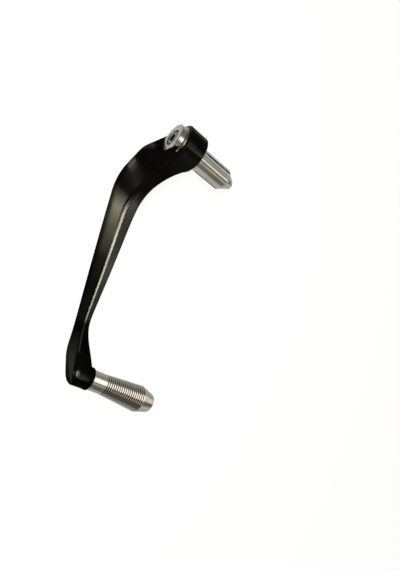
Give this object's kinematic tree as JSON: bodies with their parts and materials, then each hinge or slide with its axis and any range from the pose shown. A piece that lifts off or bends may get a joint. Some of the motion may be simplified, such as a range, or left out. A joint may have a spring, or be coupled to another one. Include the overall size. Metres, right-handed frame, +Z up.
{
  "type": "brake lever guard",
  "caption": "Single brake lever guard for a handlebar end: a bent black arm with a leaf tip, a slit expanding bar plug, an end cap with its bolt, and a grooved silver barrel.",
  "frame": {"origin": "centre of the clamp boss's inboard face, on the handlebar's axis", "axes": "+X forward along the arm, +Y inboard along the handlebar (the way the bar leaves the plug), +Z up"},
  "size_m": [0.1793, 0.0825, 0.0268],
  "materials": {
    "guard_arm": "black anodised, satin",
    "end_cap": "turned, bright",
    "backing_washer": "turned, bright",
    "clamp_bolt": "stainless, darkened",
    "expander_sleeve": "turned, bright",
    "wedge_nut": "turned, bright",
    "tip_barrel": "turned, bright",
    "barrel_stud": "plain"
  },
  "bodies": {
    "root": {"guard_arm": "guard_arm", "end_cap": "end_cap", "backing_washer": "backing_washer", "clamp_bolt": "clamp_bolt", "expander_sleeve": "expander_sleeve", "wedge_nut": "wedge_nut", "tip_barrel": "tip_barrel", "barrel_stud": "barrel_stud"}
  },
  "joints": []
}
